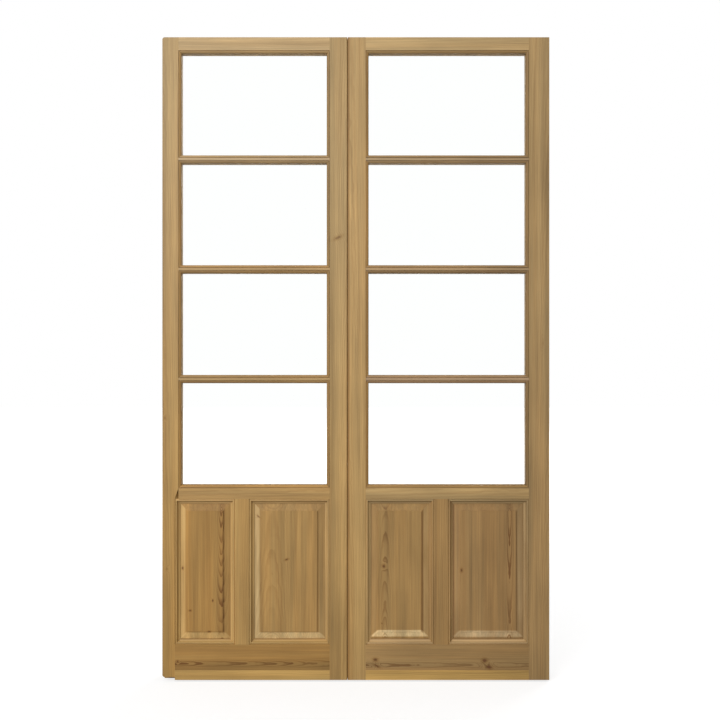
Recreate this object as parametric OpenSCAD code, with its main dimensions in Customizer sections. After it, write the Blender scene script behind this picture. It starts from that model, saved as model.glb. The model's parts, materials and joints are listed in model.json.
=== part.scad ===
// Pair of glazed french doors in old waxed pine, lapped over the face of a slim pine frame.
// Millimetres. X runs to the right, Y runs away from the viewer, Z is up, the frame stands on z = 0.
// Each leaf has four glazed lights over a narrow and a wide raised panel.

/* [Leaves] */
// height of both leaves
leaf_h = 2200; // [1900:10:2500]
// width of the left leaf
left_leaf_w = 633.5; // [560:0.5:800]
// width of the right leaf
right_leaf_w = 689.5; // [600:0.5:850]
// thickness of both leaves
leaf_t = 40; // [38:1:52]
// air under both leaves
floor_gap = 6; // [4:1:15]
// gap between the two leaves
meeting_gap = 1.5; // [1.2:0.1:3]
// how far the meeting edges lean from front to back
meeting_splay = 2.4; // [2:0.1:3]

/* [Stiles] */
// face width of the left hanging stile beside the lights
left_hanging_w = 55; // [50:1:80]
// how much slimmer that stile is beside the panels
left_hanging_step = 12.5; // [4:0.5:16]
// face width of the right hanging stile
right_hanging_w = 70; // [50:1:90]
// face width of both meeting stiles
meeting_w = 61; // [50:1:80]
// how far the worn foot of the left hanging stile stops short
worn_foot = 10; // [2:1:20]
// radius of the worn corners of the left hanging stile
worn_r = 8; // [3:1:15]

/* [Rails] */
// face height of the top rails
top_rail_h = 44.5; // [40:0.5:90]
// foot of a leaf to the upper edge of the lock rail
lock_rail_top = 657; // [600:1:900]
// face height of the lock rails
lock_rail_h = 37.5; // [34:0.5:90]
// face height of the bottom rails
bottom_rail_h = 88; // [60:1:160]
// height of the strips let in under the bottom rails
foot_strip_h = 33; // [20:1:60]
// face width of the muntins
muntin_w = 48; // [40:1:70]
// width between the muntin and the right-hand stile of each leaf
wide_opening_w = 276; // [240:1:300]
// thickness of the tenons
tenon_t = 12; // [10:1:14]

/* [Lights] */
// width of the sunk line beside all moulded edges
quirk_w = 2; // [1.5:0.5:3]
// width of the flat nose of a glazing bar
bar_nose = 8; // [6:0.5:14]
// width of the rounded edge around the glass
glass_edge_w = 10; // [8:0.5:12]
// depth of the sunk line between the face and that edge
quirk_d = 4.5; // [3:0.5:6]
// how far the rounded edge stays below the face
round_sink = 1; // [0.5:0.5:2]
// depth from the face to the glass
glass_in = 18; // [16:0.5:20]
// thickness of the panes
glass_t = 4; // [3:0.5:6]
// depth of the glazing beads behind the glass
bead_d = 14; // [10:0.5:15]

/* [Panels] */
// radius of the bead around the panels
bead_r = 2.75; // [2:0.25:4]
// how far the bead stays below the face
bead_sink = 0.75; // [0:0.25:1.5]
// radius of the hollow inside that bead
cove_r = 9.5; // [5:0.5:10]
// thickness of the lip in front of a panel
lip_t = 2.5; // [2:0.5:4]
// thickness of a panel at its tongue
tongue_t = 8; // [6:0.5:9]
// width of the slope around a raised panel
bevel_w = 25; // [18:1:36]
// rise of that slope
bevel_rise = 6; // [3:0.5:8]
// step from the slope up to the flat field
field_step = 3; // [1:0.5:4]

/* [Frame] */
// depth of the frame behind the leaves
frame_d = 60; // [56:1:120]
// width of the jambs
jamb_w = 46; // [44:1:60]
// height of the head
head_h = 32; // [30:1:60]
// height of the sill
sill_h = 22; // [16:1:40]
// gap between the back of a leaf and the frame
lap_gap = 1; // [0.8:0.1:2]
// radius of the wall fixing holes
fixing_r = 3.5; // [2.5:0.5:5]

/* [Hinges] */
// length of a hinge
hinge_h = 100; // [80:5:120]
// width of a hinge plate
plate_w = 31; // [28:1:34]
// thickness of a hinge plate
plate_t = 2; // [1.6:0.1:2.5]
// radius of the hinge barrel
barrel_r = 4.5; // [4:0.1:5]
// radius of the hinge pin
pin_r = 2.2; // [1.8:0.1:2.5]
// distance of the hinge pin outside the leaf's edge
pin_out = 2.5; // [2:0.1:3]
// top of a leaf to the middle of its top hinge
top_hinge_in = 190; // [150:5:300]
// foot of a leaf to the middle of its bottom hinge
low_hinge_in = 300; // [230:5:400]
// length of the hinge screws
screw_l = 25; // [16:1:25]
// radius of the hinge screws
screw_r = 2; // [1.6:0.1:2.2]

/* [Hidden] */
$fn = 64;

// running and fitting clearances
pin_play = 0.05;
knuckle_play = 0.3;
relief_play = 0.5;
tenon_play = 0.15;
seat_play = 0.02;
bead_play = 0.1;
panel_play = 2;
pane_play = 1.5;

// how far cuts run past the wood, tenons past the stiles before they are trimmed, and edges into their member
over = 1;
tenon_over = 5;
root = 1;

pine = [0.69, 0.55, 0.36];
pine_panel = [0.62, 0.48, 0.30];
pine_strip = [0.70, 0.55, 0.32];
pine_frame = [0.60, 0.46, 0.30];
clear_glass = [0.86, 0.92, 0.90, 0.35];
old_iron = [0.24, 0.22, 0.20];

// overall layout
total_w = left_leaf_w + meeting_gap + right_leaf_w;
half_w = total_w / 2;
leaf_x0 = [-half_w, half_w - right_leaf_w];
leaf_x1 = [-half_w + left_leaf_w, half_w];
y_face = -(leaf_t + lap_gap + frame_d) / 2;
y_back = y_face + leaf_t;
y_frame = y_back + lap_gap;
y_rear = y_frame + frame_d;

// levels
z_foot = floor_gap;
z_strip = z_foot + foot_strip_h;
z_bottom = z_strip + bottom_rail_h;
z_lock1 = z_foot + lock_rail_top;
z_lock0 = z_lock1 - lock_rail_h;
z_head = z_foot + leaf_h;
z_top = z_head - top_rail_h;
light_h = (z_top - z_lock1 - 3 * bar_nose) / 4;

// edges of the stiles and muntins, left leaf first
edge0 = [leaf_x0[0] + left_hanging_w, leaf_x0[1] + meeting_w];
edge1 = [leaf_x1[0] - meeting_w, leaf_x1[1] - right_hanging_w];
low_edge0 = [edge0[0] - left_hanging_step, edge0[1]];
muntin_x1 = [edge1[0] - wide_opening_w, edge1[1] - wide_opening_w];
muntin_x0 = [muntin_x1[0] - muntin_w, muntin_x1[1] - muntin_w];

// openings between the members, each as left, right, lower and upper edge
function light_z(i) = z_lock1 + i * (light_h + bar_nose);
function light(s, i) = [edge0[s], edge1[s], light_z(i), light_z(i) + light_h];
function narrow(s) = [low_edge0[s], muntin_x0[s], z_bottom, z_lock0];
function wide(s) = [muntin_x1[s], edge1[s], z_bottom, z_lock0];
function bar_z(i) = light_z(i) - bar_nose;

// grooves, tenons and stubs
round_over = 0.8;
panel_edge_w = quirk_w + 2 * bead_r + cove_r;
bead_seat = bead_sink + bead_r;
groove0 = bead_seat + cove_r + lip_t;
groove1 = groove0 + tongue_t;
tenon0 = (leaf_t - tenon_t) / 2;
haunch = 12;
tenon_in = 4;
meeting_ease = 2;
hollow_d = 12;
top_tenon = [z_top + tenon_in, z_head - haunch];
lock_tenon = [z_lock0 + tenon_in, z_lock1 - tenon_in];
low_tenon = [z_strip + haunch, z_bottom - haunch];
stub_l = 15;
stub_shoulder = 1;
stub_t = bar_nose - 2 * stub_shoulder;
stub_d = 14;
stub_back = 2;
stub0 = glass_in + stub_back;
bar_back = 2;
bar_d = leaf_t - bar_back;
muntin_shoulder = 9;
muntin_stub_w = muntin_w - 2 * muntin_shoulder;
muntin_stub_l = lock_rail_h / 2;

// hinges
axis_x = half_w + pin_out;
axis_y = y_back + lap_gap / 2;
plate_x = barrel_r + knuckle_play;
knuckle_h = hinge_h / 5;
tip_h = 1.5;
tip_in = 0.5;
seat_end = 1;
hinge_z = [z_foot + low_hinge_in, (z_foot + low_hinge_in + z_head - top_hinge_in) / 2, z_head - top_hinge_in];
screw_at = [[0.26, 0.13], [0.71, 0.38], [0.26, -0.13], [0.71, -0.38]];
screw_head_r = screw_r + plate_t;
slot_w = 0.8;
slot_d = 0.7;

// wall fixings and frame joints
fixing_y = y_frame + frame_d * 2 / 3;
fixing_z = [z_head * 0.08, z_head * 0.36, z_head * 0.64, z_head * 0.92];
fixing_sink_r = 2 * fixing_r;
fixing_sink_d = 12;
frame_tenon_t = 20;
head_cover = 12;
frame_tenon_h = head_h - head_cover;
jamb_shoulder = 8;
sill_housing = 12;

// a block from one corner to the opposite one
module block(x0, x1, y0, y1, z0, z1) {
    translate([x0, y0, z0])
        cube([x1 - x0, y1 - y0, z1 - z0]);
}

// a block of a leaf, with its depth counted from the face
module leaf_block(x0, x1, d0, d1, z0, z1) {
    block(x0, x1, y_face + d0, y_face + d1, z0, z1);
}

// a front outline carried from depth d0 to depth d1
module front_outline(d0, d1) {
    translate([0, y_face + d1, 0])
        rotate([90, 0, 0])
            linear_extrude(d1 - d0)
                children();
}

// Sections of the moulded edges: X runs from the face edge into the opening, Y from the face into the wood.

// sunk line, then a convex round that ends in a square edge at the glass
module glass_edge_section() {
    w = glass_edge_w - quirk_w;
    r = w + round_over;
    translate([-root, quirk_d])
        square([quirk_w + root, glass_in - quirk_d]);
    intersection() {
        translate([quirk_w, 0])
            square([w, glass_in]);
        union() {
            translate([quirk_w, round_sink + r])
                circle(r = r);
            translate([quirk_w, round_sink + r])
                square([w, glass_in]);
        }
    }
}

// front lip with a sunk line, a bead and a hollow, then the groove for the panel and the square back lip
module panel_edge_section() {
    difference() {
        translate([-root, bead_seat])
            square([panel_edge_w + root, groove0 - bead_seat]);
        translate([panel_edge_w, bead_seat])
            circle(r = cove_r);
    }
    translate([quirk_w + bead_r, bead_seat])
        circle(r = bead_r);
    translate([-root, groove1])
        square([panel_edge_w + root, leaf_t - groove1]);
}

module bead_section() {
    translate([0, glass_in + glass_t])
        square([glass_edge_w, bead_d]);
}

// side 0 left, 1 right, 2 bottom, 3 top of an opening
module run(o, side) {
    if (side == 0) {
        translate([o[0], y_face, o[2] - over])
            linear_extrude(o[3] - o[2] + 2 * over)
                children();
    } else if (side == 1) {
        translate([o[1], y_face, o[2] - over])
            mirror([1, 0, 0])
                linear_extrude(o[3] - o[2] + 2 * over)
                    children();
    } else if (side == 2) {
        translate([o[0] - over, y_face, o[2]])
            mirror([1, 0, -1])
                linear_extrude(o[1] - o[0] + 2 * over)
                    children();
    } else {
        translate([o[0] - over, y_face, o[3]])
            mirror([0, 0, 1])
                mirror([1, 0, -1])
                    linear_extrude(o[1] - o[0] + 2 * over)
                        children();
    }
}

// Outline of one side of an opening: mitred inside the opening, square where it enters its member,
// both ends moved in by e. The side runs from a to b, and goes from its edge c towards the inside.
function trapezium(a, b, c, dir, w, e) = [
    [a + e, c - dir * over], [a + e, c], [a + w + over + e, c + dir * (w + over)],
    [b - w - over - e, c + dir * (w + over)], [b - e, c], [b - e, c - dir * over]
];
function swapped(points) = [for (p = points) [p[1], p[0]]];
function mitre(o, w, side, e) =
    side == 0 ? swapped(trapezium(o[2], o[3], o[0], 1, w, e)) :
    side == 1 ? swapped(trapezium(o[2], o[3], o[1], -1, w, e)) :
    side == 2 ? trapezium(o[0], o[1], o[2], 1, w, e) :
                trapezium(o[0], o[1], o[3], -1, w, e);

// one mitred side of the moulded edge around an opening
module edge_side(o, w, side, e = 0) {
    intersection() {
        run(o, side)
            children();
        front_outline(-over, leaf_t + over)
            polygon(mitre(o, w, side, e));
    }
}

module glass_edge(s, i, side) {
    edge_side(light(s, i), glass_edge_w, side)
        glass_edge_section();
}

module panel_edge(o, side) {
    edge_side(o, panel_edge_w, side)
        panel_edge_section();
}

// plan of a leaf: square at the hinges, splayed and eased where the leaves meet
function meet_x(s, d) = (s == 0 ? leaf_x1[0] : leaf_x0[1]) + meeting_splay * (d / leaf_t - 0.5);

module leaf_plan(s) {
    out = s == 0 ? leaf_x0[0] : leaf_x1[1];
    dir = s == 0 ? -1 : 1;
    translate([0, y_face])
        polygon([[out, 0], [meet_x(s, 0) + dir * meeting_ease, 0], [meet_x(s, meeting_ease), meeting_ease],
                 [meet_x(s, leaf_t), leaf_t], [out, leaf_t]]);
}

module in_leaf_plan(s) {
    intersection() {
        children();
        translate([0, 0, z_foot - over])
            linear_extrude(leaf_h + 2 * over)
                leaf_plan(s);
    }
}

// tenons of one rail through both stiles, and the mortises with play around them
module tenons(s, z, x0, x1, play = 0) {
    for (x = [[leaf_x0[s] - tenon_over, x0 + root], [x1 - root, leaf_x1[s] + tenon_over]])
        leaf_block(x[0], x[1], tenon0 - play, tenon0 + tenon_t + play, z[0] - play, z[1] + play);
}

module bar_stubs(s, i, play = 0) {
    z0 = bar_z(i) + (bar_nose - stub_t) / 2;
    for (x = [[edge0[s] - stub_l - play, edge0[s] + root], [edge1[s] - root, edge1[s] + stub_l + play]])
        leaf_block(x[0], x[1], stub0 - play, stub0 + stub_d + play, z0 - play, z0 + stub_t + play);
}

module muntin_stubs(s, play = 0) {
    x0 = (muntin_x0[s] + muntin_x1[s] - muntin_stub_w) / 2;
    long = muntin_stub_l + play;
    for (z = [[z_lock0 - root, z_lock0 + long], [z_bottom - long, z_bottom + root]])
        leaf_block(x0 - play, x0 + muntin_stub_w + play, tenon0 - play, tenon0 + tenon_t + play, z[0], z[1]);
}

module stile_mortises(s) {
    tenons(s, top_tenon, edge0[s], edge1[s], tenon_play);
    tenons(s, lock_tenon, edge0[s], edge1[s], tenon_play);
    tenons(s, low_tenon, low_edge0[s], edge1[s], tenon_play);
    for (i = [1:3])
        bar_stubs(s, i, tenon_play);
}

// hinge placing: local X runs from the pin into the leaf, s = 0 left and s = 1 right
module at_hinge(s, k) {
    translate([s == 0 ? -axis_x : axis_x, axis_y, hinge_z[k]])
        mirror([s, 0, 0])
            children();
}

// room for the barrel and its tips, and the recess for the plate with its screw holes
module hinge_seat(back) {
    y0 = lap_gap / 2;
    cylinder(r = barrel_r + relief_play, h = hinge_h + 2 * (tip_h + seat_end), center = true);
    mirror([0, back ? 0 : 1, 0]) {
        translate([0, y0 - over, -hinge_h / 2])
            cube([plate_x + plate_w, plate_t + over, hinge_h]);
        for (p = screw_at)
            translate([plate_x + p[0] * plate_w, y0 + plate_t, p[1] * hinge_h])
                rotate([-90, 0, 0])
                    cylinder(r = screw_r + tenon_play, h = screw_l + seat_end);
    }
}

// one plate with its knuckles, sunk flush in the frame (back) or in the leaf
module hinge_plate(back) {
    y0 = lap_gap / 2;
    own = back ? [0, 2, 4] : [1, 3];
    mirror([0, back ? 0 : 1, 0])
        difference() {
            union() {
                translate([plate_x, y0, -hinge_h / 2])
                    cube([plate_w, plate_t, hinge_h]);
                for (j = own)
                    translate([0, 0, -hinge_h / 2 + j * knuckle_h + (j > 0 ? knuckle_play / 2 : 0)]) {
                        h = knuckle_h - (j > 0 && j < 4 ? knuckle_play : knuckle_play / 2);
                        cylinder(r = barrel_r, h = h);
                        translate([0, y0, 0])
                            cube([plate_x + root, plate_t, h]);
                    }
            }
            cylinder(r = pin_r + pin_play, h = hinge_h + 2 * over, center = true);
            for (p = screw_at)
                translate([plate_x + p[0] * plate_w, y0, p[1] * hinge_h])
                    rotate([-90, 0, 0])
                        screw_form(seat_play);
        }
}

// countersunk screw, head flush with the start of its own axis
module screw_form(play = 0) {
    cylinder(r1 = screw_head_r + play, r2 = screw_r + play, h = plate_t);
    translate([0, 0, plate_t / 2])
        cylinder(r = screw_r + play, h = screw_l);
}

module hinge_screws(back) {
    for (p = screw_at)
        mirror([0, back ? 0 : 1, 0])
            translate([plate_x + p[0] * plate_w, lap_gap / 2, p[1] * hinge_h])
                rotate([-90, 0, 0])
                    difference() {
                        screw_form();
                        translate([-screw_head_r, -slot_w / 2, -over])
                            cube([2 * screw_head_r, slot_w, slot_d + over]);
                    }
}

// pin with a peened button at each end of the barrel
module hinge_pin() {
    cylinder(r = pin_r, h = hinge_h, center = true);
    for (m = [0, 1])
        mirror([0, 0, m])
            translate([0, 0, hinge_h / 2])
                cylinder(r1 = barrel_r - tip_in, r2 = pin_r, h = tip_h);
}

module stile_hinge_seats(s) {
    for (k = [0:2])
        at_hinge(s, k)
            hinge_seat(false);
}

// members of a leaf
module top_rail(s) {
    in_leaf_plan(s) {
        union() {
            leaf_block(edge0[s], edge1[s], 0, leaf_t, z_top, z_head);
            tenons(s, top_tenon, edge0[s], edge1[s]);
            glass_edge(s, 3, 3);
        }
    }
}

module glazing_bar(s, i) {
    union() {
        leaf_block(edge0[s], edge1[s], 0, bar_d, bar_z(i), bar_z(i) + bar_nose);
        bar_stubs(s, i);
        glass_edge(s, i - 1, 3);
        glass_edge(s, i, 2);
    }
}

module lock_rail(s) {
    in_leaf_plan(s) {
        difference() {
            union() {
                leaf_block(edge0[s], edge1[s], 0, leaf_t, z_lock0, z_lock1);
                tenons(s, lock_tenon, edge0[s], edge1[s]);
                glass_edge(s, 0, 2);
                panel_edge(narrow(s), 3);
                panel_edge(wide(s), 3);
            }
            muntin_stubs(s, tenon_play);
            leaf_block(low_edge0[s] - over, edge0[s], -over, leaf_t + over, z_lock0, z_lock0 + root);
        }
    }
}

module bottom_rail(s) {
    in_leaf_plan(s) {
        difference() {
            union() {
                leaf_block(low_edge0[s], edge1[s], 0, leaf_t, z_strip, z_bottom);
                tenons(s, low_tenon, low_edge0[s], edge1[s]);
                panel_edge(narrow(s), 2);
                panel_edge(wide(s), 2);
            }
            muntin_stubs(s, tenon_play);
        }
    }
}

module foot_strip(s) {
    leaf_block(low_edge0[s], edge1[s], 0, leaf_t, z_foot, z_strip);
}

module muntin(s) {
    union() {
        leaf_block(muntin_x0[s], muntin_x1[s], 0, leaf_t, z_bottom, z_lock0);
        muntin_stubs(s);
        panel_edge(narrow(s), 1);
        panel_edge(wide(s), 0);
    }
}

// raised panel: tongue, mitred slopes, square step and flat field
module raised_panel(o) {
    p = panel_play;
    w = panel_edge_w;
    top = groove0 - bevel_rise;
    x0 = o[0] + w;
    x1 = o[1] - w;
    z0 = o[2] + w;
    z1 = o[3] - w;
    union() {
        leaf_block(o[0] + p, o[1] - p, groove0, groove1, o[2] + p, o[3] - p);
        intersection() {
            translate([0, y_face, z0])
                linear_extrude(z1 - z0)
                    polygon([[x0, groove0 + root], [x0, groove0], [x0 + bevel_w, top],
                             [x1 - bevel_w, top], [x1, groove0], [x1, groove0 + root]]);
            translate([x0, y_face, 0])
                mirror([1, 0, -1])
                    linear_extrude(x1 - x0)
                        polygon([[z0, groove0 + root], [z0, groove0], [z0 + bevel_w, top],
                                 [z1 - bevel_w, top], [z1, groove0], [z1, groove0 + root]]);
        }
        leaf_block(x0 + bevel_w, x1 - bevel_w, top - field_step, groove0,
                   z0 + bevel_w, z1 - bevel_w);
    }
}

module pane(s, i) {
    o = light(s, i);
    leaf_block(o[0] + pane_play, o[1] - pane_play, glass_in, glass_in + glass_t,
               o[2] + pane_play, o[3] - pane_play);
}

module glazing_beads(s) {
    for (i = [0:3])
        for (side = [0:3])
            edge_side(light(s, i), glass_edge_w, side, bead_play)
                bead_section();
}

// what wear has taken off one outer corner of the left hanging stile, dir 1 at the foot and -1 at the head
module worn_corner(z, dir) {
    front_outline(-over, leaf_t + over)
        translate([leaf_x0[0], z])
            scale([1, dir])
                difference() {
                    translate([-over, -over])
                        square(worn_r + over);
                    translate([worn_r, worn_r])
                        circle(r = worn_r);
                }
}

// Hollow of the left hanging stile beside the end of the lock rail: its outline follows the sloping shoulder,
// and it deepens towards the rail.
module shoulder_hollow() {
    intersection() {
        front_outline(-over, hollow_d + over)
            polygon([[edge0[0] + over, z_lock1], [edge0[0], z_lock1], [low_edge0[0], z_lock0],
                     [low_edge0[0], z_lock0 - over], [edge0[0] + over, z_lock0 - over]]);
        translate([low_edge0[0], y_face, z_lock0 - over])
            linear_extrude(lock_rail_h + 2 * over)
                polygon([[0, -over], [0, 0], [left_hanging_step, hollow_d],
                         [left_hanging_step + over, hollow_d], [left_hanging_step + over, -over]]);
    }
}

// Left hanging stile: slimmer beside the panels, with a sloping shoulder at the lock rail,
// a foot worn short and rounded outer corners.
module left_hanging_stile() {
    z_worn = z_foot + worn_foot;
    color(pine)
        difference() {
            union() {
                leaf_block(leaf_x0[0], low_edge0[0], 0, leaf_t, z_worn, z_lock0 + root);
                leaf_block(leaf_x0[0], edge0[0], 0, leaf_t, z_lock0, z_head);
                for (i = [0:3])
                    glass_edge(0, i, 0);
                panel_edge(narrow(0), 0);
            }
            shoulder_hollow();
            worn_corner(z_worn, 1);
            worn_corner(z_head, -1);
            stile_mortises(0);
            stile_hinge_seats(0);
        }
}

module right_hanging_stile() {
    color(pine)
        difference() {
            union() {
                leaf_block(edge1[1], leaf_x1[1], 0, leaf_t, z_foot, z_head);
                for (i = [0:3])
                    glass_edge(1, i, 1);
                panel_edge(wide(1), 1);
            }
            stile_mortises(1);
            stile_hinge_seats(1);
        }
}

module left_meeting_stile() {
    color(pine)
        difference() {
            union() {
                in_leaf_plan(0)
                    leaf_block(edge1[0], leaf_x1[0] + tenon_over, 0, leaf_t, z_foot, z_head);
                for (i = [0:3])
                    glass_edge(0, i, 1);
                panel_edge(wide(0), 1);
            }
            stile_mortises(0);
        }
}

module right_meeting_stile() {
    color(pine)
        difference() {
            union() {
                in_leaf_plan(1)
                    leaf_block(leaf_x0[1] - tenon_over, edge0[1], 0, leaf_t, z_foot, z_head);
                for (i = [0:3])
                    glass_edge(1, i, 0);
                panel_edge(narrow(1), 0);
            }
            stile_mortises(1);
        }
}

module left_top_rail() { color(pine) top_rail(0); }
module left_upper_bar() { color(pine) glazing_bar(0, 3); }
module left_middle_bar() { color(pine) glazing_bar(0, 2); }
module left_lower_bar() { color(pine) glazing_bar(0, 1); }
module left_lock_rail() { color(pine) lock_rail(0); }
module left_muntin() { color(pine) muntin(0); }
module left_bottom_rail() { color(pine) bottom_rail(0); }
module left_foot_strip() { color(pine_strip) foot_strip(0); }
module left_narrow_panel() { color(pine_panel) raised_panel(narrow(0)); }
module left_wide_panel() { color(pine_panel) raised_panel(wide(0)); }
module left_pane_1() { color(clear_glass) pane(0, 0); }
module left_pane_2() { color(clear_glass) pane(0, 1); }
module left_pane_3() { color(clear_glass) pane(0, 2); }
module left_pane_4() { color(clear_glass) pane(0, 3); }
module left_glazing_beads() { color(pine) glazing_beads(0); }

module right_top_rail() { color(pine) top_rail(1); }
module right_upper_bar() { color(pine) glazing_bar(1, 3); }
module right_middle_bar() { color(pine) glazing_bar(1, 2); }
module right_lower_bar() { color(pine) glazing_bar(1, 1); }
module right_lock_rail() { color(pine) lock_rail(1); }
module right_muntin() { color(pine) muntin(1); }
module right_bottom_rail() { color(pine) bottom_rail(1); }
module right_foot_strip() { color(pine_strip) foot_strip(1); }
module right_narrow_panel() { color(pine_panel) raised_panel(narrow(1)); }
module right_wide_panel() { color(pine_panel) raised_panel(wide(1)); }
module right_pane_1() { color(clear_glass) pane(1, 0); }
module right_pane_2() { color(clear_glass) pane(1, 1); }
module right_pane_3() { color(clear_glass) pane(1, 2); }
module right_pane_4() { color(clear_glass) pane(1, 3); }
module right_glazing_beads() { color(pine) glazing_beads(1); }

// Jamb: tenoned up into the head, housed for the sill, bored for the wall fixings.
module jamb(s) {
    mirror([s, 0, 0])
        difference() {
            union() {
                block(-half_w, -half_w + jamb_w, y_frame, y_rear, 0, z_head - head_h);
                jamb_tenon();
            }
            block(-half_w + jamb_w - sill_housing, -half_w + jamb_w + over,
                  y_frame - over, y_rear + over, -over, sill_h);
            for (z = fixing_z)
                translate([-half_w - over, fixing_y, z])
                    rotate([0, 90, 0]) {
                        cylinder(r = fixing_r, h = jamb_w + 2 * over);
                        translate([0, 0, jamb_w + over - fixing_sink_d])
                            cylinder(r = fixing_sink_r, h = fixing_sink_d + over);
                    }
            for (k = [0:2])
                at_hinge(0, k)
                    hinge_seat(true);
        }
}

module jamb_tenon(play = 0) {
    y = (y_frame + y_rear) / 2;
    block(-half_w + jamb_shoulder - play, -half_w + jamb_w - jamb_shoulder + play,
          y - frame_tenon_t / 2 - play, y + frame_tenon_t / 2 + play,
          z_head - head_h - over, z_head - head_h + frame_tenon_h + play);
}

module left_jamb() { color(pine_frame) jamb(0); }
module right_jamb() { color(pine_frame) jamb(1); }

module frame_head() {
    color(pine_frame)
        difference() {
            block(-half_w, half_w, y_frame, y_rear, z_head - head_h, z_head);
            for (m = [0, 1])
                mirror([m, 0, 0])
                    jamb_tenon(tenon_play);
        }
}

module frame_sill() {
    color(pine_frame)
        block(-half_w + jamb_w - sill_housing, half_w - jamb_w + sill_housing, y_frame, y_rear, 0, sill_h);
}

module left_low_hinge_door_plate() { color(old_iron) at_hinge(0, 0) hinge_plate(false); }
module left_mid_hinge_door_plate() { color(old_iron) at_hinge(0, 1) hinge_plate(false); }
module left_top_hinge_door_plate() { color(old_iron) at_hinge(0, 2) hinge_plate(false); }
module right_low_hinge_door_plate() { color(old_iron) at_hinge(1, 0) hinge_plate(false); }
module right_mid_hinge_door_plate() { color(old_iron) at_hinge(1, 1) hinge_plate(false); }
module right_top_hinge_door_plate() { color(old_iron) at_hinge(1, 2) hinge_plate(false); }
module left_low_hinge_frame_plate() { color(old_iron) at_hinge(0, 0) hinge_plate(true); }
module left_mid_hinge_frame_plate() { color(old_iron) at_hinge(0, 1) hinge_plate(true); }
module left_top_hinge_frame_plate() { color(old_iron) at_hinge(0, 2) hinge_plate(true); }
module right_low_hinge_frame_plate() { color(old_iron) at_hinge(1, 0) hinge_plate(true); }
module right_mid_hinge_frame_plate() { color(old_iron) at_hinge(1, 1) hinge_plate(true); }
module right_top_hinge_frame_plate() { color(old_iron) at_hinge(1, 2) hinge_plate(true); }

module left_hinge_pins() {
    color(old_iron)
        for (k = [0:2])
            at_hinge(0, k)
                hinge_pin();
}

module right_hinge_pins() {
    color(old_iron)
        for (k = [0:2])
            at_hinge(1, k)
                hinge_pin();
}

module left_hinge_screws() {
    color(old_iron)
        for (k = [0:2])
            at_hinge(0, k)
                hinge_screws(false);
}

module right_hinge_screws() {
    color(old_iron)
        for (k = [0:2])
            at_hinge(1, k)
                hinge_screws(false);
}

module frame_hinge_screws() {
    color(old_iron)
        for (s = [0, 1])
            for (k = [0:2])
                at_hinge(s, k)
                    hinge_screws(true);
}

left_jamb();
right_jamb();
frame_head();
frame_sill();
left_hanging_stile();
left_meeting_stile();
left_top_rail();
left_upper_bar();
left_middle_bar();
left_lower_bar();
left_lock_rail();
left_muntin();
left_bottom_rail();
left_foot_strip();
left_narrow_panel();
left_wide_panel();
left_pane_1();
left_pane_2();
left_pane_3();
left_pane_4();
left_glazing_beads();
right_hanging_stile();
right_meeting_stile();
right_top_rail();
right_upper_bar();
right_middle_bar();
right_lower_bar();
right_lock_rail();
right_muntin();
right_bottom_rail();
right_foot_strip();
right_narrow_panel();
right_wide_panel();
right_pane_1();
right_pane_2();
right_pane_3();
right_pane_4();
right_glazing_beads();
left_low_hinge_door_plate();
left_mid_hinge_door_plate();
left_top_hinge_door_plate();
right_low_hinge_door_plate();
right_mid_hinge_door_plate();
right_top_hinge_door_plate();
left_low_hinge_frame_plate();
left_mid_hinge_frame_plate();
left_top_hinge_frame_plate();
right_low_hinge_frame_plate();
right_mid_hinge_frame_plate();
right_top_hinge_frame_plate();
left_hinge_pins();
right_hinge_pins();
left_hinge_screws();
right_hinge_screws();
frame_hinge_screws();
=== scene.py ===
"""Pair of old waxed-pine french doors, dressed for a straight-on studio view.

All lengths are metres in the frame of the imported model: X to the right, Y away from the viewer,
Z up. Every wooden piece keeps its solid and gets a pine board of its own: the growth rings of a
log with its own heart, lean and ring width, cut by the piece's real shape.
"""

import json
import math

import bpy
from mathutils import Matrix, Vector

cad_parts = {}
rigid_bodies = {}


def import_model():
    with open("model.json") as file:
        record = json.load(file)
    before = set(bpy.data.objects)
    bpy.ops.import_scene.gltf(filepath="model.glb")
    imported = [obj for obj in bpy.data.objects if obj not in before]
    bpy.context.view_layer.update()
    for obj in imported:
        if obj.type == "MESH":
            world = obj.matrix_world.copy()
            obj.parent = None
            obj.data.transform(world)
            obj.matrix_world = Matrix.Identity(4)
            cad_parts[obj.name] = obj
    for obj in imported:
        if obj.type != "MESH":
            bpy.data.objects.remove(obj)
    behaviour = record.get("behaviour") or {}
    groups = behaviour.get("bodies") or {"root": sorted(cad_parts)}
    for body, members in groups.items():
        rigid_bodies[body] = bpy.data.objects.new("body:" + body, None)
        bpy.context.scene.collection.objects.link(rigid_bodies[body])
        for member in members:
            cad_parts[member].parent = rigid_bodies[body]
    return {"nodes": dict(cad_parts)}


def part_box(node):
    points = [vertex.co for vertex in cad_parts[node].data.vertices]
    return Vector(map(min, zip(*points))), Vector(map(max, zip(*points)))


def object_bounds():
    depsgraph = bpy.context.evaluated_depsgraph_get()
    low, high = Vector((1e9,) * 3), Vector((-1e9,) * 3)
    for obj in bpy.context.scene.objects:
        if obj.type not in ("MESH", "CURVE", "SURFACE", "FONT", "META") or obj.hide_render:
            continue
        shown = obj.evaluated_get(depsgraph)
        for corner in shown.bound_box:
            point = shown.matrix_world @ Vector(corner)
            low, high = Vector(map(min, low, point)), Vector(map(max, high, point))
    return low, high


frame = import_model()
cad_box = [list(corner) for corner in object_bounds()]
FACE_Y = cad_box[0][1]

# The camera stands straight in front, at the height of the picture's middle.
METRES_PER_PIXEL = 0.0034225
PICTURE_PIXELS = 720
VIEW_DISTANCE = 3.5
VIEW_X = 0.0142
VIEW_Z = 1.1012
SENSOR_MM = 36.0

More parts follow.
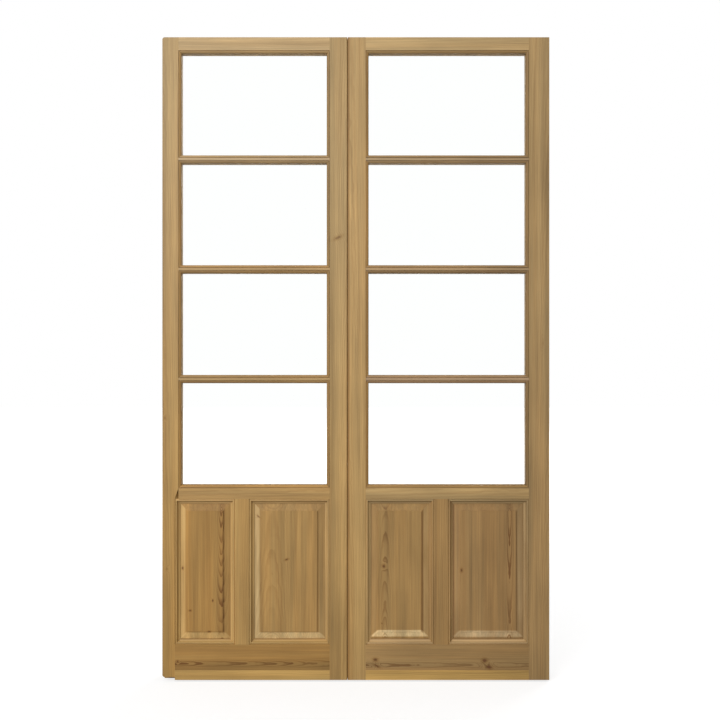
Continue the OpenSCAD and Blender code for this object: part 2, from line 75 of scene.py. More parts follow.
# Arrises: the width cut from a member's edge, from a panel's edge, and the width over which light bends
# round any edge. Then the turns that count as a member's edge, as a panel's edge, and as still flat.
WOOD_ARRIS = 0.00012
PANEL_ARRIS = 0.0008
SOFT_ARRIS = 0.0008
ARRIS_ANGLE = math.radians(40)
SLOPE_ANGLE = math.radians(8)
PLANE_ANGLE = math.radians(0.5)
WELD_DISTANCE = 0.00001


def linear(srgb):
    """An 8-bit sRGB colour as linear RGBA."""
    channels = [c / 255 for c in srgb]
    return [c / 12.92 if c <= 0.04045 else ((c + 0.055) / 1.055) ** 2.4 for c in channels] + [1.0]


class Nodes:
    """Adds shader nodes to a tree. Inputs may be plain values or the outputs of other nodes."""

    def __init__(self, tree):
        self.tree = tree

    def new(self, kind, inputs=None, **settings):
        node = self.tree.nodes.new(kind)
        for name, value in settings.items():
            setattr(node, name, value)
        for key, value in (inputs or {}).items():
            if isinstance(value, bpy.types.NodeSocket):
                self.tree.links.new(value, node.inputs[key])
            else:
                node.inputs[key].default_value = value
        return node

    def math(self, operation, *values):
        return self.new("ShaderNodeMath", dict(enumerate(values)), operation=operation).outputs[0]

    def vector(self, operation, *values):
        node = self.new("ShaderNodeVectorMath", dict(enumerate(values)), operation=operation)
        return node.outputs["Value" if operation in ("LENGTH", "DOT_PRODUCT") else "Vector"]

    def dim(self, colour, amount):
        """A colour or vector times a single number."""
        node = self.new("ShaderNodeVectorMath", {0: colour, "Scale": amount}, operation="SCALE")
        return node.outputs["Vector"]

    def split(self, vector):
        return self.new("ShaderNodeSeparateXYZ", {0: vector}).outputs

    def join(self, x, y, z):
        return self.new("ShaderNodeCombineXYZ", {0: x, 1: y, 2: z}).outputs[0]

    def noise(self, vector, stretch, detail=2.0, roughness=0.5):
        """Noise from 0 to 1 whose cells a metre along each axis are given by stretch."""
        place = self.vector("MULTIPLY", vector, stretch)
        inputs = {"Vector": place, "Scale": 1.0, "Detail": detail, "Roughness": roughness}
        return self.new("ShaderNodeTexNoise", inputs).outputs[0]

    def noise_along(self, value, cells):
        inputs = {"W": self.math("MULTIPLY", value, cells), "Scale": 1.0, "Detail": 1.0}
        return self.new("ShaderNodeTexNoise", inputs, noise_dimensions="1D").outputs[0]

    def step(self, value, low, high):
        """Smooth step: 0 below low, 1 above high."""
        inputs = {"Value": value, "From Min": low, "From Max": high}
        return self.new("ShaderNodeMapRange", inputs, interpolation_type="SMOOTHSTEP").outputs[0]

    def fall(self, value, low, high):
        """Smooth step down: 1 below low, 0 above high."""
        return self.math("SUBTRACT", 1.0, self.step(value, low, high))

    def slant(self, value, low, high, change):
        """A factor around 1 that runs from 1 - change at low to 1 + change at high."""
        inputs = {"Value": value, "From Min": low, "From Max": high,
                  "To Min": 1 - change, "To Max": 1 + change}
        return self.new("ShaderNodeMapRange", inputs).outputs[0]

    def sway(self, value, amount):
        """A noise as a factor around 1 that changes by this amount at the noise's usual peaks."""
        return self.math("MULTIPLY_ADD", value, 4 * amount, 1 - 2 * amount)

    def mix(self, factor, a, b):
        node = self.new("ShaderNodeMix", {0: factor, 6: a, 7: b}, data_type="RGBA")
        return node.outputs[2]


def new_material(name):
    """An empty material, and what adds nodes to it."""
    material = bpy.data.materials.new(name)
    material.use_nodes = True
    material.node_tree.nodes.clear()
    return material, Nodes(material.node_tree)


def finish_material(nodes, shader):
    nodes.new("ShaderNodeOutputMaterial", {"Surface": shader})


# Pine
# Each tint is a factor for the board's own colour.

LATE_WOOD = (0.52, 0.40, 0.29)
ORANGE_WOOD = (1.02, 0.985, 0.93, 1.0)
YELLOW_WOOD = (0.995, 1.01, 1.01, 1.0)
# Pales rubbed wear on the panels' bottom slopes, and paints light on their side slopes and on the bottom
# rails' moulded edges.
PALE_WEAR_AND_LIGHT = (2.1, 2.6, 3.9)
EDGE_STAIN = (0.93, 0.84, 0.70, 1.0)
# A darker stain that paints shade on the glass-side round where it doesn't face up.
STAIN_AND_PAINTED_SHADE = (0.70, 0.64, 0.54, 1.0)
RESIDUE = (1.5, 1.55, 1.65)
# Darkening colour for dirt and painted shade in hollows, for the painted shadow lines beside the panels
# and for the painted shade where the leaves meet.
GRIME_AND_SHADE = (0.58, 0.50, 0.42)
KNOT_HALO = (0.74, 0.64, 0.50)

# A knot's colour, the cells a metre and the amount of its ragged outline, and how far the rings swell
# past it, in its half widths. The reaches say where something begins to fade and where it ends, in the
# knot's half sizes.
KNOT_COLOUR = linear((88, 54, 28))
KNOT_CELLS = (220.0, 220.0, 160.0)
KNOT_RAGGED = 0.9
KNOT_SWELL = 0.9
SWELL_REACH = (0.6, 4.5)
HALO_REACH = (0.7, 2.4)
CORE_REACH = (0.4, 1.15)

# The heights at which a board has its low and its high colour; the change between them is partly painted
# light, lighter and cooler towards the head.
LOW_Z = 0.0
HIGH_Z = 2.2

# How deep a leaf's moulded edges go from its face, and where the round beside the glass ends.
LIP_DEPTH = 0.020
LIP_BLUR = 0.001
ROUND_FADES = 0.012
ROUND_ENDS = 0.016

# How far the sunk line reaches outside and inside the outline of a pane or panel.
SUNK_OUTSIDE = 0.0022
SUNK_INSIDE = 0.0008

# How far a panel's slope starts and ends from the panel's own edges, how far before it the line of
# painted shade begins, how far a rubbed foot runs past its mitres, and the softness of other marks'
# edges.
SLOPE_START = 0.015
SLOPE_END = 0.040
LINE_BEFORE = 0.003
MITRE_BLUR = 0.012
EDGE_BLUR = 0.0005

# Cells a metre, across, deep and along the grain, of blotches and of the change from orange to yellow.
BLOTCH_CELLS = (11.0, 11.0, 4.0)
BLOTCH_CHANGE = 0.13
HUE_CELLS = (34.0, 34.0, 0.9)
BOARD_OFFSET = (3.1, 1.7, 2.3)

# Grain from broad bands down to fibres: the same cells, and the change of tone.
GRAIN = [
    ((26.0, 26.0, 0.6), 0.21),
    ((110.0, 110.0, 2.4), 0.13),
    ((400.0, 400.0, 4.0), 0.13),
    ((1300.0, 1300.0, 16.0), 0.06),
]

# How a log's rings wander and ripple: cells a metre, the share of the quick wander, the ripple's height.
SLOW_WANDER = (2.0, 2.0, 0.5)
QUICK_WANDER = (14.0, 14.0, 2.2)
QUICK_SHARE = 0.2
RIPPLE_CELLS = (30.0, 30.0, 22.0)
RIPPLE = 0.004

# How years differ in width and in strength: cells a metre across the rings, by how many years the count
# wanders, the strength of the weakest. Then the part of a year in which it darkens and in which it ends.
YEAR_CELLS = 60.0
YEAR_CHANGE = 2.0
STRONG_CELLS = 140.0
WEAK_YEAR = 0.4
LATE_DARKENS = (0.3, 0.9)
LATE_ENDS = (0.92, 1.0)

# Over the heart the rings lie flat: how far from it they do, and how much darker the wood is there.
HEART_NEAR = 0.003
HEART_FAR = 0.016
HEART_DARK = 0.09

# Rubbed arrises, and hollows darkened by dirt and painted shade: how far they reach and how strong they
# are.
WORN_REACH = 0.0022
WORN_AMOUNT = 0.35
WORN_GAIN = 1.4
DIRT_AND_SHADE_REACH = 0.010
DIRT_AND_SHADE_AMOUNT = 0.2
EDGE_PALE = 0.10
SUNK_AMOUNT = 0.55
LINE_AMOUNT = 0.9
# Painted shade beside the meeting leaves: where it begins to fade and where it ends.
MEET_NEAR = 0.003
MEET_FAR = 0.010
QUICK_SAMPLES = 4


def growth_rings():
    """Node group: dark late wood, 0 to 1, of a leaning log. Its place runs across, deep and along."""
    group = bpy.data.node_groups.new("growth_rings", "ShaderNodeTree")
    sockets = [("Place", "Vector"), ("Heart", "Vector"), ("Lean", "Vector"),
               ("Ring", "Float"), ("Wander", "Float"), ("Bulge", "Float")]
    for name, kind in sockets:
        group.interface.new_socket(name, in_out="INPUT", socket_type="NodeSocket" + kind)
    group.interface.new_socket("Late", in_out="OUTPUT", socket_type="NodeSocketFloat")
    group.interface.new_socket("Off Heart", in_out="OUTPUT", socket_type="NodeSocketFloat")
    n = Nodes(group)
    given = n.new("NodeGroupInput").outputs
    place = given["Place"]
    slow = n.noise(place, SLOW_WANDER)
    quick = n.noise(place, QUICK_WANDER)
    ripple = n.math("MULTIPLY", n.math("SUBTRACT", n.noise(place, RIPPLE_CELLS), 0.5), RIPPLE)
    wander = n.math("ADD", slow, n.math("MULTIPLY", quick, QUICK_SHARE))
    wander = n.math("MULTIPLY", n.math("SUBTRACT", wander, 0.5 + 0.5 * QUICK_SHARE), given["Wander"])
    leaning = n.vector("MULTIPLY", given["Lean"], n.join(*[n.split(place)[2]] * 3))
    from_heart = n.vector("SUBTRACT", n.vector("SUBTRACT", place, given["Heart"]), leaning)
    across, deep, _ = n.split(from_heart)
    off = n.math("ADD", across, wander)
    flat = n.join(off, n.math("ADD", n.math("MULTIPLY_ADD", wander, 0.5, deep), ripple), 0.0)
    radius = n.math("ADD", n.vector("LENGTH", flat), given["Bulge"])
    years = n.math("DIVIDE", radius, given["Ring"])
    years = n.math("ADD", years, n.math("MULTIPLY", n.noise_along(radius, YEAR_CELLS), YEAR_CHANGE))
    season = n.math("FRACT", years)
    late = n.math("MULTIPLY", n.step(season, *LATE_DARKENS), n.fall(season, *LATE_ENDS))
    strong = n.step(n.noise_along(radius, STRONG_CELLS), 0.3, 0.7)
    late = n.math("MULTIPLY", late, n.math("MULTIPLY_ADD", strong, 1 - WEAK_YEAR, WEAK_YEAR))
    n.new("NodeGroupOutput", {"Late": late, "Off Heart": n.math("ABSOLUTE", off)})
    return group


GROWTH_RINGS = growth_rings()


class Knot:
    """An oval knot: its middle across and along the grain, half length, half width, the tilt of its
    length from straight across, and how dark it is."""

    def __init__(self, across, along, length, width, tilt=0.0, dark=0.85):
        self.across = across
        self.along = along
        self.length = length
        self.width = width
        self.tilt = tilt
        self.dark = dark


class Board:
    """How one pine board was cut and has aged.

    low and high are its sRGB colours at the floor and at the head, partly the wood's tone and partly
    painted light, lighter and cooler towards the head. heart is the log's heart, across and deep, from
    the piece's middle; lean is how it runs out along the grain. late says how strongly the rings show,
    flame how much more over the heart, band how strongly the broad bands show. side is the change of
    tone from the lower or left edge to the other, run the same from end to end. pale is the wear on a
    panel's bottom slope and painted light on its left and right slopes, or painted light over the shade
    in a bottom rail's moulded edge. rub is how far up the bottom one has its middle. line is painted
    shade at the foot of a panel's left slope and painted shadow at the right of its field, meet painted
    shade on a stile's left edge where the leaves meet.
    """

    def __init__(self, low, high=None, grain="Z", heart=(0.02, 0.14), lean=(0.004, 0.012), ring=0.0035,
                 wander=0.012, late=0.28, flame=0.0, band=1.0, side=0.0, run=0.0, pale=(0.0,), rub=0.027,
                 line=(0.0, 0.3), meet=0.0, knots=()):
        self.low = linear(low)
        self.high = linear(high or low)
        self.grain = grain
        self.heart = heart
        self.lean = lean
        self.ring = ring
        self.wander = wander
        self.late = late
        self.flame = flame
        self.band = band
        self.side = side
        self.run = run
        self.pale = pale
        self.rub = rub
        self.line = line
        self.meet = meet
        self.knots = knots


def knot_marks(n, place, knots):
    """How far the rings swell round the knots, their soft halo and their dark core."""
    bulge = halo = core = 0.0
    for knot in knots:
        off, _, up = n.split(n.vector("SUBTRACT", place, (knot.across, 0.0, knot.along)))
        cos, sin = math.cos(knot.tilt), math.sin(knot.tilt)
        long = n.math("ADD", n.math("MULTIPLY", off, cos), n.math("MULTIPLY", up, sin))
        wide = n.math("SUBTRACT", n.math("MULTIPLY", up, cos), n.math("MULTIPLY", off, sin))
        away = n.join(n.math("DIVIDE", long, knot.length), n.math("DIVIDE", wide, knot.width), 0.0)
        ragged = n.math("SUBTRACT", n.noise(place, KNOT_CELLS), 0.5)
        distance = n.math("MULTIPLY_ADD", ragged, KNOT_RAGGED, n.vector("LENGTH", away))
        near = n.fall(distance, *SWELL_REACH)
        bulge = n.math("MULTIPLY_ADD", near, knot.width * KNOT_SWELL, bulge)
        soft = n.fall(distance, *HALO_REACH)
        halo = n.math("MAXIMUM", halo, n.math("MULTIPLY", soft, knot.dark))
        middle = n.fall(distance, *CORE_REACH)
        core = n.math("MAXIMUM", core, n.math("MULTIPLY", middle, knot.dark))
    return bulge, halo, core


def band(n, value, start, full, fade, end):
    """Rises from start to full and falls from fade to end."""
    return n.math("MULTIPLY", n.step(value, start, full), n.fall(value, fade, end))


def within(n, value, low, high):
    """1 between two values, 0 outside them, with a slightly soft edge."""
    return band(n, value, low - EDGE_BLUR, low + EDGE_BLUR, high - EDGE_BLUR, high + EDGE_BLUR)


def in_outlines(n, x, z, nodes, inset=0.0):
    """1 where the front view of a place lies this far inside the outline of one of these pieces."""
    inside = 0.0
    for node in nodes:
        low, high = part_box(node)
        both = n.math("MULTIPLY", within(n, x, low[0] + inset, high[0] - inset),
                      within(n, z, low[2] + inset, high[2] - inset))
        inside = n.math("MAXIMUM", inside, both)
    return inside


def moulded_edges(n, x, y, z, leaf):
    """Masks of a leaf's front: the moulded edges round the lights and round the panels, the line of
    painted shade where these meet the panels, and the sunk line round all of them."""
    front = n.fall(y, FACE_Y + LIP_DEPTH - LIP_BLUR, FACE_Y + LIP_DEPTH)
    panes = [leaf + "_pane_%d" % i for i in (1, 2, 3, 4)]
    both = [leaf + "_narrow_panel", leaf + "_wide_panel"]
    lights = in_outlines(n, x, z, panes)
    panels = in_outlines(n, x, z, both)
    line = in_outlines(n, x, z, both, inset=SLOPE_START - LINE_BEFORE)
    sunk = n.math("SUBTRACT", in_outlines(n, x, z, panes + both, inset=-SUNK_OUTSIDE),
                  in_outlines(n, x, z, panes + both, inset=SUNK_INSIDE))
    return [n.math("MULTIPLY", mask, front) for mask in (lights, panels, line, sunk)]


def grain_tones(n, own, board):
    """The brightness of bands, streaks, years and fibres, and the finest of them for the relief."""
    tone = 1.0
    for level, (cells, change) in enumerate(GRAIN):
        noise = n.noise(own, cells, detail=2.0)
        tone = n.math("MULTIPLY", tone, n.sway(noise, change * (board.band if level == 0 else 1.0)))
    return tone, noise


def tint(n, amount, colour, factor):
    """The colour, changed by this share towards itself times a factor."""
    return n.mix(amount, colour, n.vector("MULTIPLY", colour, factor))


def panel_wear_and_painted_light(n, colour, board, x, z, blotch, box):
    """A raised panel's bottom slope rubbed pale by feet and brooms, its side slopes paled with painted
    light, and painted shade at the foot of its left slope and beside its field.
    """
    low, high = box
    left, right = n.math("SUBTRACT", x, low[0]), n.math("SUBTRACT", high[0], x)
    bottom, top = n.math("SUBTRACT", z, low[2]), n.math("SUBTRACT", high[2], z)
    inside = n.math("MINIMUM", n.math("MINIMUM", left, right), n.math("MINIMUM", bottom, top))

    def on_side(distance, *rise_and_fall, blur=EDGE_BLUR):
        nearest = n.fall(n.math("SUBTRACT", distance, inside), 0.0, blur)
        return n.math("MULTIPLY", nearest, band(n, distance, *rise_and_fall))

    rub, start, end = board.rub, SLOPE_START, SLOPE_END
    # The bottom slope is rubbed wear; paling the left slope paints a highlight, and paling the right
    # slope paints light over its shade.
    slopes = [
        on_side(bottom, rub - 0.017, rub - 0.008, rub + 0.007, rub + 0.014, blur=MITRE_BLUR),
        on_side(left, start - 0.003, start, end - 0.011, end - 0.004),
        on_side(right, start - 0.001, start + 0.003, end - 0.007, end),
    ]
    # Painted shade at the foot of the left slope, and the painted shadow of the field's step on the
    # right.
    shadow_lines = [
        on_side(left, start - 0.004, start, start + 0.003, start + 0.008),
        on_side(right, end - 0.008, end - 0.004, end + 0.002, end + 0.005),
    ]
    pale = 0.0
    for slope, amount in zip(slopes, board.pale):
        pale = n.math("MAXIMUM", n.math("MULTIPLY", slope, amount), pale)
    pale = n.math("MULTIPLY", pale, n.math("MULTIPLY_ADD", n.step(blotch, 0.3, 0.7), 0.4, 0.6))
    colour = tint(n, pale, colour, PALE_WEAR_AND_LIGHT)
    for shadow_line, amount in zip(shadow_lines, board.line):
        colour = tint(n, n.math("MULTIPLY", shadow_line, amount), colour, GRIME_AND_SHADE)
    return colour


def edge_stain_wear_and_shade(n, colour, board, x, y, z, leaf):
    """Stain beside the glass, darker with painted shade where the round doesn't face up, residue in the
    sunk lines, paler moulded edges beside the panels, on bottom rails paler still with painted light
    over the groove's shade and with a painted shadow line where they meet the panels.
    """
    lights, panels, line, sunk = moulded_edges(n, x, y, z, leaf)
    facing_up = n.split(n.new("ShaderNodeNewGeometry").outputs["Normal"])[2]
    # Painted shade: the stain darkens on the round where it doesn't face up.
    painted_shade = n.fall(facing_up, -0.1, 0.4)
    on_round = n.fall(y, FACE_Y + ROUND_FADES, FACE_Y + ROUND_ENDS)
    stain_and_shade = n.mix(n.math("MULTIPLY", painted_shade, on_round), EDGE_STAIN, STAIN_AND_PAINTED_SHADE)
    colour = tint(n, lights, colour, stain_and_shade)
    # On bottom rails the paler edge also paints light over the shade in the groove.
    colour = tint(n, n.math("MULTIPLY", panels, EDGE_PALE + board.pale[0]), colour, PALE_WEAR_AND_LIGHT)
    colour = tint(n, n.math("MULTIPLY", sunk, SUNK_AMOUNT), colour, RESIDUE)
    # Painted shade: a dark line where the moulded edge meets the panel.
    if board.pale[0]:
        colour = tint(n, n.math("MULTIPLY", line, LINE_AMOUNT), colour, GRIME_AND_SHADE)
    return colour


def worn_edges_dirt_and_shade(n, colour, blotch):
    """Arrises rubbed bright in places, and hollows darkened by dirt and painted shade."""
    turned = n.new("ShaderNodeBevel", {"Radius": WORN_REACH}, samples=QUICK_SAMPLES).outputs[0]
    straight = n.new("ShaderNodeNewGeometry").outputs["Normal"]
    worn = n.math("SUBTRACT", 1.0, n.vector("DOT_PRODUCT", turned, straight))
    worn = n.math("MULTIPLY", n.step(worn, 0.02, 0.25), n.step(blotch, 0.35, 0.65))
    colour = n.mix(n.math("MULTIPLY", worn, WORN_AMOUNT), colour, n.dim(colour, WORN_GAIN))
    # Painted shade: ambient occlusion darkens the hollows, both as dirt and as the shade that falls in
    # them.
    occlusion = n.new("ShaderNodeAmbientOcclusion", {"Distance": DIRT_AND_SHADE_REACH}, samples=QUICK_SAMPLES)
    shaded_hollow = n.fall(occlusion.outputs["AO"], 0.2, 0.8)
    return tint(n, n.math("MULTIPLY", shaded_hollow, DIRT_AND_SHADE_AMOUNT), colour, GRIME_AND_SHADE)


def board_rings(n, place, board, box, upright, swell):
    """The board's late wood, and how near it lies to the log's heart, both 0 to 1."""
    middle = [(a + b) / 2 for a, b in zip(*box)]
    across, along = (middle[0], middle[2]) if upright else (middle[2], middle[0])
    rings = n.new("ShaderNodeGroup", node_tree=GROWTH_RINGS, inputs={
        "Place": n.vector("SUBTRACT", place, (0.0, 0.0, along)),
        "Heart": (across + board.heart[0], middle[1] + board.heart[1], 0.0),
        "Lean": (board.lean[0], board.lean[1], 0.0),
        "Ring": board.ring,
        "Wander": board.wander,
        "Bulge": swell,
    }).outputs
    over_heart = n.fall(rings["Off Heart"], HEART_NEAR, HEART_FAR)
    return rings["Late"], over_heart


def waxed(n, colour, late, fibre, blotch):
    """Shader of waxed wood: a dull sheen, raised late wood and fibres, and soft arrises."""
    rough = n.math("MULTIPLY_ADD", blotch, 0.16, 0.46)
    rough = n.math("MULTIPLY_ADD", late, -0.08, rough)
    height = n.math("ADD", n.math("MULTIPLY", late, 0.5), n.math("MULTIPLY", fibre, 0.6))
    soft = n.new("ShaderNodeBevel", {"Radius": SOFT_ARRIS}, samples=QUICK_SAMPLES).outputs[0]
    bump = n.new("ShaderNodeBump", {
        "Strength": 0.35, "Distance": 0.0004, "Height": height, "Normal": soft})
    return n.new("ShaderNodeBsdfPrincipled", {
        "Base Color": colour, "Roughness": rough, "Specular IOR Level": 0.25, "Normal": bump.outputs[0]})


def pine(node, board, seed):
    """Waxed pine cut as the board says, for one piece."""
    material, n = new_material("pine_" + node)
    low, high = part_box(node)
    x, y, z = n.split(n.new("ShaderNodeTexCoord").outputs["Object"])
    upright = board.grain == "Z"
    place = n.join(x, y, z) if upright else n.join(z, y, x)
    own = n.vector("ADD", place, [seed * offset for offset in BOARD_OFFSET])
    swell, halo, core = knot_marks(n, place, board.knots)
    late, over_heart = board_rings(n, place, board, (low, high), upright, swell)

    tone, fibre = grain_tones(n, own, board)
    tone = n.math("MULTIPLY", tone, n.math("MULTIPLY_ADD", over_heart, -HEART_DARK * board.flame, 1.0))
    x_change, z_change = (board.side, board.run) if upright else (board.run, board.side)
    tone = n.math("MULTIPLY", tone, n.slant(x, low[0], high[0], x_change))
    tone = n.math("MULTIPLY", tone, n.slant(z, low[2], high[2], z_change))
    blotch = n.noise(own, BLOTCH_CELLS, detail=3.0)
    tone = n.math("MULTIPLY", tone, n.sway(blotch, BLOTCH_CHANGE))

    hue = n.step(n.noise(own, HUE_CELLS), 0.36, 0.64)
    # Partly the wood's tone and partly painted light: lighter and cooler towards the head, where more
    # light and sheen fall.
    colour = n.mix(n.step(z, LOW_Z, HIGH_Z), board.low, board.high)
    colour = n.vector("MULTIPLY", colour, n.mix(hue, ORANGE_WOOD, YELLOW_WOOD))
    colour = n.dim(colour, tone)
    late_shows = n.math("MULTIPLY", late, n.math("MULTIPLY_ADD", over_heart, board.flame, board.late))
    colour = tint(n, late_shows, colour, LATE_WOOD)
    colour = tint(n, halo, colour, KNOT_HALO)
    colour = n.mix(core, colour, KNOT_COLOUR)

    panel = "panel" in node
    if panel:
        colour = panel_wear_and_painted_light(n, colour, board, x, z, blotch, (low, high))
    colour = worn_edges_dirt_and_shade(n, colour, blotch)
    # Painted shade along the left edge, where the leaves meet.
    if board.meet:
        near = n.fall(x, low[0] + MEET_NEAR, low[0] + MEET_FAR)
        colour = tint(n, n.math("MULTIPLY", near, board.meet), colour, GRIME_AND_SHADE)
    if node in LEAF_BOARDS and not panel:
        colour = edge_stain_wear_and_shade(n, colour, board, x, y, z, node.split("_")[0])
    finish_material(n, waxed(n, colour, late, fibre, blotch).outputs[0])
    return material


LEAF_BOARDS = {
    "left_hanging_stile": Board(
        (175, 137, 77), (170, 142, 98), heart=(-0.05, 0.09), side=0.09,
        knots=[
            Knot(-0.646, 0.386, 0.003, 0.004, dark=0.3),
            Knot(-0.653, 0.903, 0.003, 0.004, dark=0.35),
        ]),
    "left_meeting_stile": Board(
        (162, 129, 78), (175, 146, 100), side=0.06, heart=(0.06, 0.07),
        knots=[Knot(-0.061, 1.52, 0.014, 0.0055, tilt=0.45, dark=0.5)]),
    "left_top_rail": Board((181, 154, 112), grain="X", heart=(0.05, 0.06)),
    "left_upper_bar": Board((184, 159, 122), grain="X", heart=(0.03, 0.05)),
    "left_middle_bar": Board((174, 144, 100), grain="X", heart=(-0.03, 0.05)),
    "left_lower_bar": Board((163, 134, 91), grain="X", heart=(0.04, 0.04)),
    "left_lock_rail": Board((162, 130, 81), grain="X", heart=(0.03, 0.06), band=1.4),
    "left_muntin": Board((168, 134, 80), heart=(0.05, 0.05)),
    "left_bottom_rail": Board(
        (153, 118, 65), grain="X", heart=(-0.029, -0.002), lean=(0.0, 0.03), ring=0.0028,
        wander=0.004, late=0.35, flame=1.2, side=0.15, pale=(0.15,),
        knots=[Knot(0.07, -0.61, 0.003, 0.003)]),
    "left_foot_strip": Board((177, 143, 84), grain="X", heart=(0.05, 0.05), late=0.2),
    "left_narrow_panel": Board(
        (158, 121, 66), side=-0.05, heart=(0.055, 0.0165), lean=(0.0, -0.08), wander=0.008,
        late=0.25, flame=1.0, pale=(0.65, 0.4, 0.18),
        knots=[
            Knot(-0.595, 0.386, 0.003, 0.005),
            Knot(-0.568, 0.242, 0.004, 0.003),
            Knot(-0.491, 0.276, 0.0025, 0.004),
            Knot(-0.503, 0.169, 0.005, 0.003),
        ]),
    "left_wide_panel": Board(
        (163, 129, 77), heart=(-0.06, 0.1), lean=(0.01, 0.03), band=1.3, pale=(0.7, 0.5, 0.18),
        knots=[
            Knot(-0.2375, 0.417, 0.006, 0.003, tilt=0.35),
            Knot(-0.335, 0.564, 0.007, 0.0025, tilt=-0.6, dark=0.6),
        ]),
    "left_glazing_beads": Board((165, 132, 84), (172, 143, 98)),
    "right_hanging_stile": Board(
        (145, 117, 76), (157, 130, 88), heart=(0.06, 0.08),
        knots=[Knot(0.6405, 1.159, 0.002, 0.01, dark=0.25)]),
    "right_meeting_stile": Board(
        (177, 142, 88), (173, 142, 95), side=-0.1, meet=0.95, heart=(-0.05, 0.08)),
    "right_top_rail": Board((177, 149, 104), grain="X", run=-0.12, heart=(0.05, 0.06)),
    "right_upper_bar": Board((161, 136, 102), grain="X", run=-0.12, heart=(0.03, 0.05)),
    "right_middle_bar": Board((154, 129, 95), grain="X", run=-0.1, heart=(-0.03, 0.05)),
    "right_lower_bar": Board((156, 130, 100), grain="X", run=-0.05, heart=(0.04, 0.04)),
    "right_lock_rail": Board((161, 133, 88), grain="X", run=-0.18, heart=(0.03, 0.06), band=1.6),
    "right_muntin": Board((146, 114, 69), heart=(0.05, 0.05)),
    "right_bottom_rail": Board(
        (154, 123, 78), grain="X", run=-0.2, heart=(-0.034, -0.003), lean=(0.0, 0.02), ring=0.003,
        wander=0.005, late=0.35, flame=0.9, side=0.2, pale=(0.22,),
        knots=[
            Knot(0.0755, 0.067, 0.0055, 0.0075),
            Knot(0.054, 0.072, 0.003, 0.01, tilt=0.5),
            Knot(0.0725, 0.4405, 0.007, 0.008),
            Knot(0.0495, 0.456, 0.006, 0.008, tilt=0.4),
        ]),
    "right_foot_strip": Board(
        (184, 147, 84), grain="X", run=-0.14, heart=(0.05, 0.05), late=0.3, band=1.6),
    "right_narrow_panel": Board(
        (156, 123, 74), heart=(-0.05, 0.02), lean=(0.0, 0.05), flame=0.6, pale=(1.3, 0.05, 0.3),
        rub=0.035, line=(0.0, 0.75),
        knots=[
            Knot(0.0965, 0.394, 0.004, 0.005),
            Knot(0.0895, 0.198, 0.002, 0.003, dark=0.5),
        ]),
    "right_wide_panel": Board(
        (145, 114, 71), side=-0.09, heart=(0.073, 0.004), lean=(0.0, -0.03), flame=1.1,
        pale=(0.8, 0.04, 0.27), rub=0.033, line=(0.8, 0.3),
        knots=[Knot(0.3625, 0.38, 0.0035, 0.006)]),
    "right_glazing_beads": Board((160, 128, 82), (170, 141, 98)),
}
FRAME_BOARDS = {
    "left_jamb": Board((150, 118, 70), (165, 135, 88)),
    "right_jamb": Board((146, 115, 70), (160, 130, 86)),
    "frame_head": Board((165, 136, 92), grain="X"),
    "frame_sill": Board((150, 118, 70), grain="X"),
}


def clear_glass():
    """Old drawn glass: clear, with a faint ripple."""
    material, n = new_material("old_glass")
    place = n.new("ShaderNodeTexCoord").outputs["Object"]
    ripple = n.noise(place, (9.0, 9.0, 3.0), detail=1.0)
    bump = n.new("ShaderNodeBump", {"Strength": 0.05, "Distance": 0.001, "Height": ripple})
    haze = n.math("MULTIPLY", n.noise(place, (4.0, 4.0, 4.0), detail=3.0), 0.02)
    shader = n.new("ShaderNodeBsdfPrincipled", {
        "Base Color": (0.99, 1.0, 0.995, 1.0), "Roughness": haze, "Transmission Weight": 1.0,
        "IOR": 1.45, "Normal": bump.outputs[0]})
    finish_material(n, shader.outputs[0])
    return material


def old_iron():
    """Dark oiled iron, clouded with brown rust and finely pitted."""
    material, n = new_material("old_iron")
    place = n.new("ShaderNodeTexCoord").outputs["Object"]
    cloud = n.noise(place, (60.0, 60.0, 60.0), detail=5.0, roughness=0.6)
    pits = n.noise(place, (420.0, 420.0, 420.0), detail=3.0)
    rust = n.step(cloud, 0.48, 0.66)
    colour = n.mix(rust, linear((66, 60, 54)), linear((92, 58, 36)))
    colour = n.dim(colour, n.sway(pits, 0.25))
    metal = n.math("MULTIPLY_ADD", rust, -0.7, 0.85)
    rough = n.math("MULTIPLY_ADD", rust, 0.3, 0.42)
    bump = n.new("ShaderNodeBump", {"Strength": 0.4, "Distance": 0.0003, "Height": pits})
    shader = n.new("ShaderNodeBsdfPrincipled", {
        "Base Color": colour, "Metallic": metal, "Roughness": rough, "Normal": bump.outputs[0]})
    finish_material(n, shader.outputs[0])
    return material


def dress(node, material):
    """Puts one material into all slots of a piece."""
    for slot in bpy.data.objects[node].material_slots:
        slot.material = material


def soften(node, panel):
    """Takes the sharpness off a wooden piece's arrises. A panel's faces turn only a little."""
    obj = bpy.data.objects[node]
    obj.modifiers.new("weld", "WELD").merge_threshold = WELD_DISTANCE
    if not panel:
        planes = obj.modifiers.new("planes", "DECIMATE")
        planes.decimate_type = "DISSOLVE"
        planes.angle_limit = PLANE_ANGLE
    bevel = obj.modifiers.new("arris", "BEVEL")
    bevel.width = PANEL_ARRIS if panel else WOOD_ARRIS
    bevel.segments = 2
    bevel.limit_method = "ANGLE"
    bevel.angle_limit = SLOPE_ANGLE if panel else ARRIS_ANGLE
    bevel.use_clamp_overlap = False
    obj.modifiers.new("normals", "WEIGHTED_NORMAL")


def dress_all():
    """Pine for the wooden pieces, glass for the panes, iron for hinges and screws."""
    boards = LEAF_BOARDS | FRAME_BOARDS
    glass = clear_glass()
    iron = old_iron()
    for seed, node in enumerate(sorted(frame["nodes"])):
        if node in boards:
            dress(node, pine(node, boards[node], seed))
            soften(node, "panel" in node)
        else:
            dress(node, glass if "_pane_" in node else iron)


# Studio

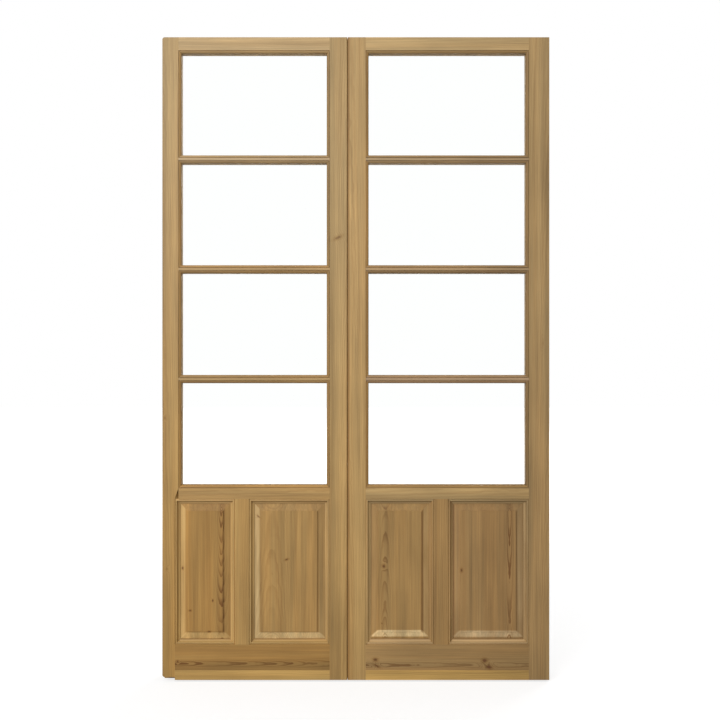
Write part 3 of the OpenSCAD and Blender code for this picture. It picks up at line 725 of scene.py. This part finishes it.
KEY_AT = (-5.8, -10.0, 5.4)
KEY_WATTS = 1200.0
BACK_AT = (5.8, 10.0, 6.0)
BACK_WATTS = 800.0
LAMP_SIZE = 7.0
LAMP_TARGET = (0.0, 0.0, 1.1)
SKY_LIGHT = 0.5
FLOOR_SIZE = 40.0
FLOOR_GREY = (0.36, 0.36, 0.36, 1.0)
FLOOR_GLOW = 0.72
FAR_GLOW = 0.25
WHITE_FROM = 1.5
WHITE_AT = 4.0


def seen_directly(n):
    """1 for rays that show the background: straight, mirrored or through glass."""
    path = n.new("ShaderNodeLightPath").outputs
    seen = n.math("MAXIMUM", path["Is Camera Ray"], path["Is Glossy Ray"])
    return n.math("MAXIMUM", seen, path["Is Transmission Ray"])


def white_world():
    """Full white where it is seen, and a weaker white sky as light."""
    world = bpy.data.worlds.new("studio")
    world.use_nodes = True
    world.node_tree.nodes.clear()
    n = Nodes(world.node_tree)
    strength = n.math("MULTIPLY_ADD", seen_directly(n), 1.0 - SKY_LIGHT, SKY_LIGHT)
    light = n.new("ShaderNodeBackground", {"Color": (1.0, 1.0, 1.0, 1.0), "Strength": strength})
    n.new("ShaderNodeOutputWorld", {"Surface": light.outputs[0]})
    bpy.context.scene.world = world


def white_floor():
    """A pale floor that keeps the doors' shadow near them and runs out into white."""
    material, n = new_material("floor")
    place = n.new("ShaderNodeTexCoord").outputs["Object"]
    far = n.step(n.vector("LENGTH", place), WHITE_FROM, WHITE_AT)
    glow = n.math("MULTIPLY", n.math("MULTIPLY_ADD", far, FAR_GLOW, FLOOR_GLOW), seen_directly(n))
    matt = n.new("ShaderNodeBsdfDiffuse", {"Color": FLOOR_GREY})
    light = n.new("ShaderNodeEmission", {"Strength": glow})
    both = n.new("ShaderNodeAddShader", {0: matt.outputs[0], 1: light.outputs[0]})
    finish_material(n, both.outputs[0])
    bpy.ops.mesh.primitive_plane_add(size=FLOOR_SIZE)
    floor = bpy.context.object
    floor.name = "floor"
    floor.data.materials.append(material)


def aim(obj, target):
    """Turns a lamp to face a place."""
    obj.rotation_euler = (Vector(target) - obj.location).to_track_quat("-Z", "Y").to_euler()


def soft_light(name, place, watts):
    """A large square lamp that faces the middle of the doors."""
    light = bpy.data.lights.new(name, "AREA")
    light.energy = watts
    light.size = LAMP_SIZE
    lamp = bpy.data.objects.new(name, light)
    lamp.location = place
    aim(lamp, LAMP_TARGET)
    bpy.context.scene.collection.objects.link(lamp)


def camera():
    """A camera that shows the leaves' front at the photo's scale."""
    data = bpy.data.cameras.new("camera")
    data.sensor_width = SENSOR_MM
    data.lens = SENSOR_MM * VIEW_DISTANCE / (METRES_PER_PIXEL * PICTURE_PIXELS)
    eye = bpy.data.objects.new("camera", data)
    eye.location = (VIEW_X, FACE_Y - VIEW_DISTANCE, VIEW_Z)
    eye.rotation_euler = (math.radians(90), 0.0, 0.0)
    bpy.context.scene.collection.objects.link(eye)
    bpy.context.scene.camera = eye


bpy.context.scene.view_settings.view_transform = "Standard"
camera()
white_world()
white_floor()
soft_light("key", KEY_AT, KEY_WATTS)
soft_light("back", BACK_AT, BACK_WATTS)
dress_all()
